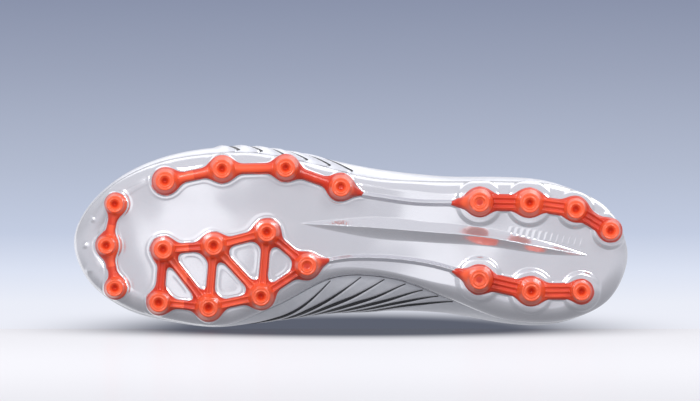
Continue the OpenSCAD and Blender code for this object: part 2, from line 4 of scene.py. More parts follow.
import bpy
import numpy as np
import openvdb
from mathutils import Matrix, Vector


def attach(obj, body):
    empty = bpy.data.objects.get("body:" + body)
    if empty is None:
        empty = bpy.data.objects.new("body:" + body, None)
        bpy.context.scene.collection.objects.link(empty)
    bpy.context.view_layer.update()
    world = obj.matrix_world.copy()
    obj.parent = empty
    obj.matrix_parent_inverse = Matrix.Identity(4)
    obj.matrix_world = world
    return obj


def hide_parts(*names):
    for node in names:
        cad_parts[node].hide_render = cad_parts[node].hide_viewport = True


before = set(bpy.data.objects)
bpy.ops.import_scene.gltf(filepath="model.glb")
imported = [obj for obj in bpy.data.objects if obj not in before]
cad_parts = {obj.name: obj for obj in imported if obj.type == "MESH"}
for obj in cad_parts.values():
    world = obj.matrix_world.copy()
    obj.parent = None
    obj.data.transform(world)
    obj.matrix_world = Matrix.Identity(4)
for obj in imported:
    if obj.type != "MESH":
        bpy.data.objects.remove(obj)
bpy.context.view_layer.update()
MM = 0.001

# ---- Camera: square to the sole, a little above the medial side that the boot lies on ----

CAMERA_AIM = (0.3, 18.9)
CAMERA_DISTANCE = 3000.0
LENS = 298.5

camera = bpy.data.objects.new("camera", bpy.data.cameras.new("camera"))
bpy.context.scene.collection.objects.link(camera)
camera.data.lens = LENS
camera.data.clip_start = 0.01
camera.data.clip_end = 20.0
camera.location = (CAMERA_AIM[0] * MM, CAMERA_AIM[1] * MM, -CAMERA_DISTANCE * MM)
camera.rotation_euler = (0.0, math.pi, 0.0)
bpy.context.scene.camera = camera

# ---- Guide loops of part.scad: toe first, then round by the lateral side ----

RIM = np.array([
    [144.2, -4, 33], [138, 13.5, 31], [122, 28.5, 26], [101, 38.5, 22.5], [77, 43, 20.5],
    [50, 43.8, 20], [22, 38.6, 21.5], [-10, 31, 24], [-45, 29, 24.5], [-78, 29, 23],
    [-107, 27, 22], [-133, 15.5, 22], [-144.1, -8.5, 22.5], [-134.5, -32.5, 22], [-110, -43.8, 22],
    [-80, -43, 23], [-50, -32, 23], [-22, -21.8, 21], [8, -21, 19], [38, -35.5, 18.5],
    [66, -46, 19.5], [93, -43.5, 21.5], [117, -36.8, 25.5], [136, -23.5, 30.5],
])
LOW_PULL = np.array([
    [149, -4, 46], [127, 35, 42], [78, 55, 40], [22, 51.5, 42], [-46, 37, 44], [-110, 30, 40],
    [-146.5, -8.5, 41], [-113, -47, 40], [-50, -46, 38], [8, -54, 30], [66, -51, 40], [122, -42, 42],
])
HIGH_PULL = np.array([
    [106, -4, 61], [93, 17, 62], [60, 28, 63], [14, 27, 68], [-40, 27.5, 75], [-93, 25, 57],
    [-130, -8, 66], [-93, -40, 58], [-42, -41, 74], [8, -38, 68], [56, -34, 64], [93, -23, 62],
])
TOPLINE = np.array([
    [49, -3.5, 66.5], [48.6, -1, 66.6], [47, 2, 67.3], [43.5, 5, 69], [36, 7, 71.8], [24, 8, 76],
    [8, 8.5, 81], [-14, 9.5, 87], [-38, 12, 93], [-64, 20, 77.5], [-92, 23, 70.5], [-119, 14, 79],
    [-133, -8, 88], [-119, -29, 79.5], [-92, -37, 72.5], [-64, -31, 79], [-38, -20, 93.5],
    [-14, -17, 87.5], [8, -15.5, 81.5], [24, -15, 76.5], [36, -14, 72], [43.5, -12, 69],
    [47, -9, 67.3], [48.6, -6, 66.6],
])
FLOOR_EDGE = np.array([
    [132, -4], [113.5, 22], [75, 35], [20, 30], [-45, 21.5], [-103, 19],
    [-133, -8.5], [-106, -36], [-48, -24], [8, -15.5], [64, -37.5], [111, -28],
])
SOLE_LINE = np.array([
    [-150, 16], [-130, 11.5], [-100, 10], [-60, 11.5], [-25, 14.5], [5, 13.5], [40, 10],
    [70, 9.5], [95, 12], [115, 16.5], [132, 23.5], [150, 34],
])

# Studs: x, y, base radius, tip radius, tip height.
TOE_STUDS = [(122.3, 17, 5.8, 4.3, 9), (126.8, -4.5, 5.8, 4.3, 10.5), (122.3, -26.5, 5.8, 4.3, 9)]
LATERAL_FOREFOOT = [
    (96, 29, 7, 4.8, 1.5), (66.5, 35.2, 7, 4.8, 0), (33.5, 35.8, 7, 4.8, 0), (5, 25.8, 7, 4.8, 1.5),
]
MEDIAL_FOREFOOT = [
    (97, -6.5, 6.7, 4.8, 1.8), (70.8, -4.6, 7, 4.8, 0), (43.3, 2.5, 7, 4.8, 0), (22.5, -15, 7, 4.8, 0.8),
    (99.3, -34, 6.5, 4.8, 2), (73.5, -36.6, 7.2, 4.8, 0), (46.3, -30.8, 7, 4.8, 0),
]
LATERAL_HEEL = [
    (-66.8, 18, 7.6, 5, 0), (-92.7, 17.6, 7.6, 5, 0), (-116.5, 14.3, 6.3, 4.6, 0), (-134.5, 3.3, 6, 4.4, 0.6),
]
MEDIAL_HEEL = [(-66.6, -22, 7.7, 5, 0), (-93.5, -28.2, 7.7, 5, 0), (-119.5, -28.2, 6.2, 4.6, 0)]

PLATE_WALL = 2.2
BOSS_DROP = 1.2
SKIN = 1.2
LINING = 0.8
COLLAR_PAD = 4.6
PUFF_BUILD = 0.6
COUNTER_BUILD = 1.2
BOARD = 1.5
CUSHION = 2.5
SOCKLINER = 3.4
BODY_GAP = 0.5
LATERAL_SEAM, MEDIAL_SEAM = 0.215, 0.785
LATERAL_HEEL_SEAM, MEDIAL_HEEL_SEAM = 0.43, 0.57
EYELET_T = 0.92
EYELET_US = np.linspace(0.172, 0.318, 6)
EYELET_R = 2.2
LACE_WIDTH = 6.0
LACE_THICKNESS = 1.6
LACE_RADIUS = 1.15
LACE_DEPTH = 3.8

# ---- Curves and surfaces, the same as in part.scad ----


def mix(a, b, f):
    return a + (b - a) * f


def ease(f):
    c = np.clip(f, 0.0, 1.0)
    return c * c * (3 - 2 * c)


def unit(v):
    return v / np.maximum(np.linalg.norm(v, axis=-1, keepdims=True), 1e-12)


def spline(a, b, c, d, f):
    return 0.5 * (
        2 * b + (c - a) * f + (2 * a - 5 * b + 4 * c - d) * f * f + (3 * b - a - 3 * c + d) * f * f * f
    )


def around(guide, u):
    """Smooth closed curve through guide points, u from 0 to 1."""
    count = len(guide)
    place = np.mod(u, 1.0) * count
    i = np.floor(place).astype(int)
    f = (place - i)[..., None]
    return spline(guide[(i - 1) % count], guide[i % count], guide[(i + 1) % count], guide[(i + 2) % count], f)


def along(guide, s):
    """Smooth open curve through guide points, s from 0 to 1."""
    guide = np.asarray(guide, float)
    last = len(guide) - 1
    place = np.clip(s, 0.0, 0.9999) * last
    i = np.floor(place).astype(int)
    f = (place - i)[..., None]
    return spline(guide[np.maximum(i - 1, 0)], guide[i], guide[i + 1], guide[np.minimum(i + 2, last)], f)


def sole_z(x):
    """Height of the plate's underside."""
    px, pz = SOLE_LINE[:, 0], SOLE_LINE[:, 1]
    slope = np.gradient(pz)
    slope[1:-1] = (pz[2:] - pz[:-2]) / (px[2:] - px[:-2])
    slope[0] = (pz[1] - pz[0]) / (px[1] - px[0])
    slope[-1] = (pz[-1] - pz[-2]) / (px[-1] - px[-2])
    i = np.clip(np.searchsorted(px, x) - 1, 0, len(px) - 2)
    h = px[i + 1] - px[i]
    f = (x - px[i]) / h
    return (
        (2 * f**3 - 3 * f**2 + 1) * pz[i] + (f**3 - 2 * f**2 + f) * h * slope[i]
        + (3 * f**2 - 2 * f**3) * pz[i + 1] + (f**3 - f**2) * h * slope[i + 1]
    )


def face(u, t):
    """Outer face of the upper."""
    u, t = np.broadcast_arrays(np.asarray(u, float), np.asarray(t, float))
    v = t[..., None]
    return (
        (1 - v) ** 3 * around(RIM, u) + 3 * (1 - v) ** 2 * v * around(LOW_PULL, u)
        + 3 * (1 - v) * v * v * around(HIGH_PULL, u) + v**3 * around(TOPLINE, u)
    )


def face_normal(u, t):
    u, t = np.broadcast_arrays(np.asarray(u, float), np.asarray(t, float))
    step = 0.004
    low = np.minimum(t, 1 - step)
    return unit(np.cross(face(u + step, t) - face(u - step, t), face(u, low + step) - face(u, low)))


def at_depth(u, t, depth):
    return face(u, t) - np.asarray(depth)[..., None] * face_normal(u, t)


def puff_at(u, t):
    from_toe = np.minimum(np.abs(u), np.abs(1 - u))
    return PUFF_BUILD * ease((0.15 - from_toe) / 0.05) * ease((0.7 - t) / 0.2)


def counter_at(u, t):
    return COUNTER_BUILD * ease((0.14 - np.abs(u - 0.5)) / 0.05) * ease((0.6 - t) / 0.15)


def collar_at(u, t):
    rise = ease((0.178 - np.abs(u - 0.5)) / 0.05) * ease((t - 0.55) / 0.3)
    return COLLAR_PAD * rise * (1 - 0.35 * ease((t - 0.85) / 0.15))


def lining_depth(u, t):
    return SKIN + 0.35 + puff_at(u, t) + counter_at(u, t) + collar_at(u, t)


# ---- Meshes ----


def add_object(name, points, faces, crease=None):
    """Smooth-shaded object in millimetres, with sharp edges where faces meet at more than crease degrees."""
    points = np.asarray(points, float).reshape(-1, 3)
    mesh = bpy.data.meshes.new(name)
    mesh.from_pydata((points * MM).tolist(), [], faces)
    mesh.validate()
    mesh.update()
    mesh.polygons.foreach_set("use_smooth", [True] * len(mesh.polygons))
    if crease:
        mesh.set_sharp_from_angle(angle=math.radians(crease))
    obj = bpy.data.objects.new(name, mesh)
    bpy.context.scene.collection.objects.link(obj)
    return obj


def grid_faces(rows, columns, wrap_rows=False, wrap_columns=False):
    i = np.arange(rows if wrap_rows else rows - 1)[:, None]
    j = np.arange(columns if wrap_columns else columns - 1)[None, :]
    a = i * columns + j
    b = i * columns + (j + 1) % columns
    c = ((i + 1) % rows) * columns + (j + 1) % columns
    d = ((i + 1) % rows) * columns + j
    return np.stack(np.broadcast_arrays(a, b, c, d), -1).reshape(-1, 4).tolist()


def loft(name, rings):
    """Solid through rings of points; its two ends are capped by pairing each ring's two halves."""
    count, size = rings.shape[:2]
    faces = grid_faces(count, size, wrap_columns=True)
    for j in range(size // 2 - 1):
        quad = [j, j + 1, size - 2 - j, size - 1 - j]
        faces.append(quad[::-1])
        faces.append([(count - 1) * size + k for k in quad])
    return add_object(name, rings, faces, crease=50)


def layer(name, us, ts, outer, inner):
    """Layer of the upper between two depth functions of (u, t)."""
    u, t = np.meshgrid(us, ts, indexing="ij")
    front, back = at_depth(u, t, outer(u, t)), at_depth(u, t, inner(u, t))
    return loft(name, np.concatenate([front, back[:, ::-1]], axis=1))


def nearest(points, x, y, chunk=60000):
    """For each (x, y), distance to the nearest of the points and that point's index."""
    flat = np.stack([x.ravel(), y.ravel()], 1)
    distances, indices = [], []
    for part in np.array_split(flat, 1 + len(flat) // chunk):
        d = np.hypot(part[:, None, 0] - points[None, :, 0], part[:, None, 1] - points[None, :, 1])
        distances.append(d.min(1))
        indices.append(d.argmin(1))
    return np.concatenate(distances).reshape(x.shape), np.concatenate(indices).reshape(x.shape)


# ---- Webs: the bars and rings that join studs, as distances in the plate's plane ----

NOSE_TIP = 0.7


def from_line(x, y, a, b):
    """Distance from the line between a and b, and how far along it the nearest point lies."""
    ax, ay, bx, by = a[0], a[1], b[0], b[1]
    length = (bx - ax) ** 2 + (by - ay) ** 2
    f = np.clip(((x - ax) * (bx - ax) + (y - ay) * (by - ay)) / length, 0, 1)
    return np.hypot(x - ax - f * (bx - ax), y - ay - f * (by - ay)), f


def blend_min(a, b, k):
    h = np.clip(0.5 + 0.5 * (b - a) / k, 0, 1)
    return mix(b, a, h) - k * h * (1 - h)


def web_distance(x, y, places, bars, noses):
    """Distance outside the flat outline of a stud group; negative inside it."""
    d = np.full(x.shape, 1e3)
    for place in places:
        d = np.minimum(d, np.hypot(x - place[0], y - place[1]) - place[2] + 0.2)
    for start, end, width in bars:
        away, f = from_line(x, y, places[start], places[end])
        flare = 0.8 * (2 * f - 1) ** 4
        d = blend_min(d, away - width / 2 + 0.6 - flare, 4.0)
    for stud, *tip in noses:
        away, f = from_line(x, y, places[stud], tip)
        d = blend_min(d, away - mix(places[stud][2] - 0.5, NOSE_TIP, f), 1.5)
    return d


# Each stud group: studs, bars (stud, stud, width), pointed noses (stud, x, y) and the bars' moulding.
GROUPS = {
    "toe_studs": (TOE_STUDS, [(0, 1, 5.4), (1, 2, 5.4)], [], "crest"),
    "lateral_forefoot_studs": (
        LATERAL_FOREFOOT, [(0, 1, 5.6), (1, 2, 5.6), (2, 3, 5.6)], [(3, -5.5, 22.5)], "crest",
    ),
    "medial_forefoot_studs": (
        MEDIAL_FOREFOOT,
        [(0, 1, 5), (1, 2, 5), (2, 3, 5), (4, 5, 5), (5, 6, 5), (6, 3, 5),
         (0, 4, 5), (1, 5, 4.6), (2, 6, 4.6), (0, 5, 4.6), (1, 6, 4.6)],
        [(3, 12, -12.3)], "channel",
    ),
    "lateral_heel_studs": (
        LATERAL_HEEL, [(0, 1, 9), (1, 2, 8.6), (2, 3, 8)], [(0, -53, 17.5)], "ribbed",
    ),
    "medial_heel_studs": (MEDIAL_HEEL, [(0, 1, 9.4), (1, 2, 8.8)], [(0, -53.5, -17.6)], "ribbed"),
}

# ---- Outsole plate ----

SPINE = [
    (26, 7, 0.6, 0.0), (-10, 5, 11, 2.9), (-40, 2.7, 11, 3.6), (-70, 0, 9.5, 3.6),
    (-100, -5.5, 7, 2.2), (-123.5, -9.7, 0.6, 0.0),
]
LATERAL_RAIL = [(-2, 22.7, 3, 1.2), (-15, 20.6, 3.4, 2.2), (-35, 18, 3.4, 2.4), (-58, 17.6, 3.4, 2)]
MEDIAL_RAIL = [
    (14, -13, 3, 1.2), (0, -10.9, 3.4, 2.2), (-20, -11.2, 3.4, 2.6),
    (-40, -13.7, 3.4, 2.4), (-58, -18.5, 3.4, 2),
]
TOE_NUBS = [(134.5, 9), (138.3, -4.6), (136.5, -17.6)]
HEEL_RIB_ROW = np.array([(-83, 3.1), (-120, -2.8)])
HEEL_RIBS = 13


def ridge_relief(x, y, path, power=1.0):
    """Height of a ridge, the signed distance from its crest, and how far the ridge has risen there."""
    s = along(path, np.linspace(0, 1, 160))
    d, i = nearest(s[:, :2], x, y)
    tangent = np.gradient(s[:, :2], axis=0)[i]
    side = (x - s[i, 0]) * tangent[..., 1] - (y - s[i, 1]) * tangent[..., 0]
    height = s[i, 3] * np.clip(1 - d / np.maximum(s[i, 2] / 2, 0.2), 0, 1) ** power
    return height, np.sign(side) * d, ease((s[i, 3] - 0.1) / 1.2)


def add_bosses(relief, x, y):
    """Round bosses about the heel studs, each with a faint lip."""
    wide = [(place, 4.0) for place in LATERAL_HEEL[:2]]
    narrow = [(place, 3.0) for place in LATERAL_HEEL[2:]]
    for place, extra in wide + narrow + [(place, 3.6) for place in MEDIAL_HEEL]:
        d = np.hypot(x - place[0], y - place[1]) - place[2]
        lip = 0.12 * np.exp(-(((d - extra) / 0.8) ** 2))
        relief = np.maximum(relief, BOSS_DROP * ease((extra + 1.2 - d) / 2.6) + lip)
    return relief


def add_web_pads(relief, x, y):
    """Raised pads that the stud groups sit on; those of the forefoot have a border line."""
    for name, (places, bars, noses, _) in GROUPS.items():
        d = web_distance(x, y, places, bars, noses)
        if "heel" not in name:
            relief = relief + 0.16 * np.exp(-(((d - 2.1) / 0.8) ** 2))
        relief = np.maximum(relief, BOSS_DROP * ease((1.5 - d) / 2.1))
    return relief


def rib_row(x, y):
    """Row of plain low ribs between the heel studs."""
    relief = np.zeros(x.shape)
    for f in np.linspace(0, 1, HEEL_RIBS):
        cx, cy = mix(*HEEL_RIB_ROW, f)
        across = np.abs((x - cx) + 0.28 * (y - cy))
        relief += 0.1 * ease((1.1 - across) / 0.8) * ease((2.4 - np.abs(y - cy)) / 0.8)
    return relief


def plate_relief(x, y):
    """How far the plate's underside stands out from its plain shape."""
    relief, _, _ = ridge_relief(x, y, SPINE, 1.35)
    for path, inner in ((LATERAL_RAIL, 1), (MEDIAL_RAIL, -1)):
        crest, side, fade = ridge_relief(x, y, path)
        relief = relief + crest - 0.75 * fade * np.exp(-(((side * inner - 4.8) / 2.4) ** 2))
    relief = add_web_pads(add_bosses(relief, x, y), x, y)
    for nub in TOE_NUBS:
        relief = relief + 0.6 * np.exp(-((np.hypot(x - nub[0], y - nub[1]) / 1.3) ** 2))
    wave = np.sin(x * 0.105 + 0.9 * np.sin(y * 0.09)) * np.sin(y * 0.13 + 0.6)
    ripple = 0.5 * np.sin(x * 0.23 - y * 0.11)
    dish = np.exp(-(((x - 62) / 34) ** 2) - (((y - 12) / 11) ** 2))
    return relief + rib_row(x, y) + 0.2 * (wave + ripple) - 0.9 * dish


def inward(guide, u, inset):
    """Guide point moved level towards the inside of its loop."""
    p = around(guide, u)
    d = around(guide, u + 0.003) - around(guide, u - 0.003)
    n = np.hypot(d[..., 0], d[..., 1])[..., None]
    shift = np.stack([-d[..., 1], d[..., 0]], -1) / n * inset
    return np.concatenate([p[..., :2] + shift, p[..., 2:]], -1)


def bowl(us, floor_steps, wall_steps, wall):
    """Rows around the boot: from the middle line out over the floor and up the wall to the rim."""
    side = np.where(us <= 0.5, us, 1 - us)
    middle_u = 0.06 + side / 0.5 * 0.38
    middle = (around(FLOOR_EDGE, middle_u) + around(FLOOR_EDGE, 1 - middle_u)) / 2
    foot = around(FLOOR_EDGE, us)
    f = np.linspace(0, 1, floor_steps, endpoint=False)[None, :, None]
    floor_xy = mix(middle[:, None], foot[:, None], f)
    floor = np.concatenate([floor_xy, sole_z(floor_xy[..., :1]) + wall], -1)
    top = inward(RIM, us, wall)
    angle = np.linspace(0, math.pi / 2, wall_steps)[None, :, None]
    wall_xy = mix(foot[:, None], top[:, None, :2], np.sin(angle))
    low = sole_z(foot[:, :1]) + wall
    wall_z = mix(low[:, None], top[:, None, 2:], 1 - np.cos(angle))
    return np.concatenate([floor, np.concatenate([wall_xy, wall_z], -1)], 1)


def grid_normals(points):
    du = np.roll(points, -1, 0) - np.roll(points, 1, 0)
    dv = np.gradient(points, axis=1)
    return unit(np.cross(du, dv))


def build_plate():
    floor_steps, wall_steps, rim_steps = 110, 26, 9
    us = np.arange(1080) / 1080
    under = bowl(us, floor_steps, wall_steps, 0)
    normal = grid_normals(under)
    normal[:, :4] = (0, 0, -1)
    normal = np.where(normal[..., 2:] > 0.4, -normal, normal)
    settle = ease((floor_steps + wall_steps - 1 - np.arange(under.shape[1])) / rim_steps)[None, :]
    relief = plate_relief(under[..., 0], under[..., 1]) * settle
    under = under + normal * relief[..., None]
    inside = bowl(us, 30, 8, PLATE_WALL)
    points = np.concatenate([under, inside[:, ::-1]], 1)
    faces = grid_faces(*points.shape[:2], wrap_rows=True)
    return add_object("plate", points, [f[::-1] for f in faces])


# ---- Studs ----

GRID_STEP = 0.34
BAR_DROP = 0.9
BAR_EDGE = 0.8
TIP_EDGE = 0.35
FLANGE = 0.42
BURIED = 0.7
RIB_PITCH = 2.6


def bar_crest(x, y, places, bars, style):
    """How far the mouldings along the bars stand out: a rounded crest, two channel edges or ribs."""
    crest = np.zeros(x.shape)
    for start, end, _ in bars:
        d, f = from_line(x, y, places[start], places[end])
        if style == "channel":
            shape = 0.75 * np.exp(-(((d - 1.5) / 0.55) ** 2))
        elif style == "crest":
            shape = 0.9 * np.exp(-((d / 1.9) ** 2))
        else:
            ribs = 0.35 + 0.4 * np.cos(d * 2 * math.pi / RIB_PITCH) * (d < 3.4)
            shape = ribs * ease((0.5 - np.abs(f - 0.5)) / 0.16)
        crest = np.maximum(crest, shape)
    return crest


def with_stud(field, away, z, under, place):
    """Adds a tapered stud with a rounded tip edge, and cuts its ring line and dimple."""
    _, _, base_r, tip_r, tip_z = place
    root_z = sole_z(np.array(place[0])) - BOSS_DROP - BAR_DROP
    rise = np.clip((z - tip_z) / (root_z - tip_z), 0, 1.4)
    side = (away - mix(tip_r, base_r - 0.35, rise)) * 0.93
    cone = np.maximum(side, np.maximum(tip_z - z, under - 0.5))
    edge = np.hypot(np.maximum(side + TIP_EDGE, 0), np.maximum(tip_z + TIP_EDGE - z, 0)) - TIP_EDGE
    field = blend_min(field, np.maximum(cone, edge), 1.0)
    ring_line = 0.4 - np.abs(away - 0.76 * tip_r) - np.abs(z - tip_z)
    depth = np.maximum(z - tip_z, 0)
    dimple = np.maximum((away - 2.75 + 0.72 * depth) * 0.8, depth - 3.2)
    return np.maximum(np.maximum(field, ring_line), -dimple)


def with_nose(field, x, y, z, under, place, tip):
    """Adds a point that runs from a stud's side down to the plate."""
    start = np.array([place[0], place[1], sole_z(np.array(place[0])) - BOSS_DROP - 2.4])
    way = np.array([*tip, sole_z(np.array(tip[0])) - 0.6]) - start
    offset = [x[..., None] - start[0], y[..., None] - start[1], z - start[2]]
    f = np.clip(sum(o * w for o, w in zip(offset, way)) / way.dot(way), 0, 1)
    away = np.sqrt(sum((o - f * w) ** 2 for o, w in zip(offset, way)))
    nose = np.maximum(away - mix(place[2] - 0.9, NOSE_TIP, f), under - 0.6)
    return blend_min(field, nose, 1.0)


def stud_field(name):
    """Distance field of one stud group on a grid, and the grid's first corner."""
    places, bars, noses, style = GROUPS[name]
    xs = [p[0] for p in places] + [n[1] for n in noses]
    ys = [p[1] for p in places] + [n[2] for n in noses]
    x = np.arange(min(xs) - 10, max(xs) + 10, GRID_STEP)
    y = np.arange(min(ys) - 10, max(ys) + 10, GRID_STEP)
    plate_z = sole_z(x)
    highest = plate_z[(x > min(xs) - 8) & (x < max(xs) + 8)].max()
    z = np.arange(min(p[4] for p in places) - 1.0, highest + 2.0, GRID_STEP)
    corner = np.array([x[0], y[0], z[0]])
    under = z - plate_z[:, None, None]
    x, y = np.meshgrid(x, y, indexing="ij")
    web = web_distance(x, y, places, bars, noses)[..., None]
    bottom = -(BOSS_DROP + BAR_DROP) - bar_crest(x, y, places, bars, style)[..., None]
    bar = np.maximum(web, np.maximum(bottom - under, under - BURIED))
    edge = np.hypot(np.maximum(web + BAR_EDGE, 0), np.maximum(bottom + BAR_EDGE - under, 0)) - BAR_EDGE
    field = np.maximum(bar, edge)
    for place in places:
        away = np.hypot(x - place[0], y - place[1])[..., None]
        field = with_stud(field, away, z, under, place)
    for stud, *tip in noses:
        field = with_nose(field, x, y, z, under, places[stud], tip)
    flange_bottom = -(BOSS_DROP * ease((1.5 - web) / 2.1) + FLANGE)
    flange = np.maximum(web - 0.55, np.maximum(flange_bottom - under, under - BURIED))
    return np.minimum(field, flange).astype(np.float32), corner


def build_studs(name):
    field, corner = stud_field(name)
    grid = openvdb.FloatGrid(10.0)
    grid.copyFromArray(field)
    points, triangles, quads = grid.convertToPolygons(0.0, 0.0)
    faces = [f[::-1] for f in quads.tolist() + triangles.tolist()]
    moulding = add_object(name + "_moulding", points * GRID_STEP + corner, faces)
    paint_stud_shade(moulding, GROUPS[name][0])
    return moulding


def paint_stud_shade(moulding, places):
    """Stores a painted shade for each point: 0 on the stud beside it, 1 in its dimple and on the bars."""
    points = np.empty(len(moulding.data.vertices) * 3)
    moulding.data.vertices.foreach_get("co", points)
    points = points.reshape(-1, 3) / MM
    centres = np.array([place[:2] for place in places], float)
    tips = np.array([place[4] for place in places], float)
    away, i = nearest(centres, points[:, 0], points[:, 1])
    depth = points[:, 2] - tips[i]
    dimple = ease((2.3 - away) / 1.1) * (depth < 4)
    # painted shade: the orange is darkened deep in the dimple and down on the bars, where shade would fall
    recess_shade = np.maximum(ease((depth - 6) / 2.5), dimple)
    moulding.data.attributes.new("painted_recess_shade", "FLOAT", "POINT").data.foreach_set("value", recess_shade)


# ---- Upper ----

MEDIAL_STARTS = [0.7535, 0.7315, 0.7145, 0.6985, 0.685, 0.673, 0.662]
LATERAL_STARTS = [0.196, 0.214, 0.232, 0.249, 0.265, 0.28]


def stripe_routes():
    """Centre lines of the black stripes as [u, t] places."""
    routes = {"lateral": [], "medial": []}
    for i, u in enumerate(LATERAL_STARTS):
        middle = (u - 0.022 - 0.003 * i, 0.27)
        top = (u - 0.062 - 0.006 * i, 0.6 + 0.012 * i)
        routes["lateral"].append([(u, 0.03), middle, top])
    for i, u in enumerate(MEDIAL_STARTS):
        routes["medial"].append([
            (u, 0.012), (u + 0.022, 0.13 + 0.006 * i), (u + 0.044, 0.21 + 0.01 * i),
            (u + 0.066, 0.28 + 0.016 * i), (u + 0.1, 0.36 + 0.03 * i),
        ])
    return routes


ROUTES = stripe_routes()


def stripe_width_at(side, s):
    """Medial stripes start in a point at the plate, and lateral ones start wide."""
    if side == "medial":
        return 0.35 + 2.0 * np.sin(math.pi * np.clip(s, 0, 1) ** 1.3) ** 1.2
    return 0.4 + 2.1 * np.sin(math.pi * np.clip(0.25 + 0.75 * s, 0, 1))


def rib_relief(points, u):
    """Blades between the stripes: each rises to a crest beside its stripe and falls into it."""
    relief = np.zeros(u.shape)
    s = np.linspace(0, 1, 90)
    for side, routes in ROUTES.items():
        bulge = 0.7 if side == "medial" else 1.1
        for route in routes:
            ut = along(route, s)
            line = face(ut[:, 0], ut[:, 1])
            across = np.cross(face_normal(ut[:, 0], ut[:, 1]), unit(np.gradient(line, axis=0)))
            near = (u > ut[:, 0].min() - 0.03) & (u < ut[:, 0].max() + 0.03)
            q = points[near]
            index = np.concatenate([
                np.linalg.norm(part[:, None] - line[None], axis=-1).argmin(1)
                for part in np.array_split(q, 1 + len(q) // 40000)
            ])
            offset = q - line[index]
            signed = np.einsum("ij,ij->i", offset, across[index])
            at = s[index]
            half = stripe_width_at(side, at) / 2
            grow = np.sin(math.pi * at) ** 0.6 if side == "medial" else np.cos(math.pi * at / 2) ** 0.6
            inside = (at > 0.005) & (at < 0.995) & (np.linalg.norm(offset, axis=-1) < 12)
            groove = -0.45 * np.exp(-((signed / (half + 0.2)) ** 2))
            crest = bulge * np.exp(-(((signed - half - 0.8) / 0.7) ** 2))
            shoulder = 0.3 * np.exp(-(((signed - half - 2.2) / 1.3) ** 2))
            relief[near] += (groove + crest + shoulder) * grow * inside
    return relief


def skin_panel(name, u_from, u_to, columns, rows):
    us = np.linspace(u_from, u_to, columns)
    u, t = np.meshgrid(us, np.linspace(0.003, 1.0, rows), indexing="ij")
    plain = face(u, t)
    normal = face_normal(u, t)
    outer = plain + normal * rib_relief(plain, np.mod(u, 1.0))[..., None]
    inner = plain - normal * SKIN
    return loft(name, np.concatenate([outer, inner[:, ::-1]], axis=1))


def build_stripe(name, side, route):
    s = np.linspace(0, 1, 90)
    ut = along(route, s)
    line = face(ut[:, 0], ut[:, 1])
    tangent = unit(np.gradient(line, axis=0))
    normal = face_normal(ut[:, 0], ut[:, 1])
    across = np.cross(normal, tangent)
    half = stripe_width_at(side, s)[:, None] / 2
    steps = (-1.0, -0.6, 0.0, 0.6, 1.0)
    top = [(f, 0.06 + 0.28 * f * f) for f in steps]
    bottom = [(0.8 * f, -0.45) for f in reversed(steps)]
    sections = [line + across * half * f + normal * height for f, height in top + bottom]
    return loft(name, np.stack(sections, 1))


# ---- Tongue, lace and footbed ----

TONGUE_LINE = [
    (56, 62, 13, 6), (40, 66.5, 15.5, 8.5), (20, 72.5, 17.5, 10.5), (2, 78, 18, 11),
    (-16, 84.5, 16, 9), (-30, 93.5, 12.5, 5), (-38, 101, 12.5, 5.5), (-44, 106.5, 13.5, 6),
]
TONGUE_Y = -3.5


def tongue_sheet(name, from_depth, to_depth, narrower, crown=0.0):
    s = np.linspace(0, 1, 90)[:, None]
    f = np.linspace(1, -1, 28)[None, :]
    x, top, half, drop = along(TONGUE_LINE, s[:, 0]).T[..., None]
    end = np.clip((s - 0.93) / 0.075, 0, 1)
    round_top = np.maximum(np.sqrt(np.clip(1 - end**2, 0.05, 1)), 0.55)
    y = TONGUE_Y + (half - narrower) * f * round_top
    z = top - drop * f**2 * round_top
    x = np.broadcast_to(x, y.shape)
    swell = crown * (1 - np.abs(f) ** 8) * (0.6 + 0.4 * np.cos(s * math.pi * 9) ** 2)
    above = np.stack([x, y, z - from_depth + swell], -1)
    below = np.stack([x, y, z - to_depth], -1)
    return loft(name, np.concatenate([below, above[:, ::-1]], 1))


def flat_ribbon(name, centre, wide, thin, width, thickness, sides=12):
    """Flat rounded ribbon along centre points with given across and up directions."""
    angle = np.linspace(0, 2 * math.pi, sides, endpoint=False) + math.pi
    ring = []
    for a in angle:
        cx = math.copysign(abs(math.cos(a)) ** 0.6, math.cos(a))
        cy = math.copysign(abs(math.sin(a)) ** 0.8, math.sin(a))
        ring.append(centre + wide * (width / 2 * cx)[:, None] + thin * (thickness / 2 * cy)[:, None])
    return loft(name, np.stack(ring, 1))


def lace_row(name, u):
    """Lace from inside one eyelet, over the throat, to inside the other."""
    sides = np.array([u, 1 - u])
    lateral, medial = at_depth(sides, EYELET_T, -1.5 - LACE_THICKNESS)
    lateral_edge, medial_edge = at_depth(sides, 0.99, -1.5 - LACE_THICKNESS)
    lateral_end, medial_end = at_depth(sides, EYELET_T, 3.0)
    middle = (lateral_edge + medial_edge) / 2 + np.array([0, 0, 1.2])
    over = along([lateral, lateral_edge, middle, medial_edge, medial], np.linspace(0, 1, 40))
    start = np.linspace(0, 1, 8, endpoint=False)[:, None]
    centre = np.concatenate([
        mix(lateral_end, over[0], start), over, mix(over[-1], medial_end, start + 1 / 8),
    ])
    # round the bend at each eyelet
    for _ in range(6):
        centre[1:-1] = (centre[:-2] + 2 * centre[1:-1] + centre[2:]) / 4
    forward = unit(face(u - 0.01, 1) - face(u + 0.01, 1))
    tangent = unit(np.gradient(centre, axis=0))
    wide = unit(forward - np.sum(forward * tangent, -1, keepdims=True) * tangent)
    thin = np.cross(wide, tangent)
    s = np.linspace(0, 1, len(centre))
    spread = ease((0.5 - np.abs(s - 0.5)) / 0.33)
    width = mix(2.9, LACE_WIDTH, spread)
    thickness = mix(2.6, LACE_THICKNESS, spread)
    return flat_ribbon(name, centre, wide, thin, width, thickness)


